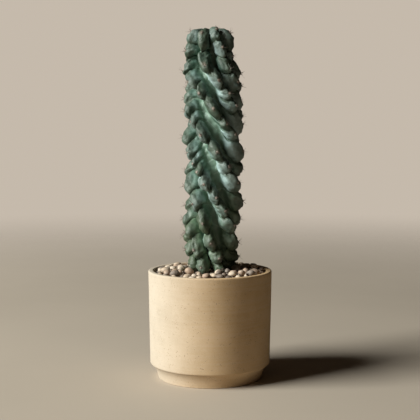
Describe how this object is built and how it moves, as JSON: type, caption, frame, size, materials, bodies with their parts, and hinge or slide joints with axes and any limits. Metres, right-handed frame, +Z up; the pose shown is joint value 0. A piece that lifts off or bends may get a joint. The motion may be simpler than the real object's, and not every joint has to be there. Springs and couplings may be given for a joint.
{
  "type": "potted spiral cactus",
  "caption": "Upright blue-green cactus with twisted, tubercled ribs and short spines, in gravel in a plain round beige stoneware pot with a narrower foot.",
  "frame": {"origin": "centre of the pot's foot, at the level of the surface that it stands on", "axes": "+Z up along the pot's axis and the stem, -Y towards the side that the picture shows, +X to its right"},
  "size_m": [0.14, 0.14, 0.3927],
  "materials": {
    "stoneware": "matte",
    "soil": "matte",
    "pebbles": "matte",
    "cactus_skin": "satin"
  },
  "bodies": {
    "root": {"pot": "stoneware", "potting_soil": "soil", "gravel": "pebbles", "cactus": "cactus_skin"}
  },
  "joints": []
}
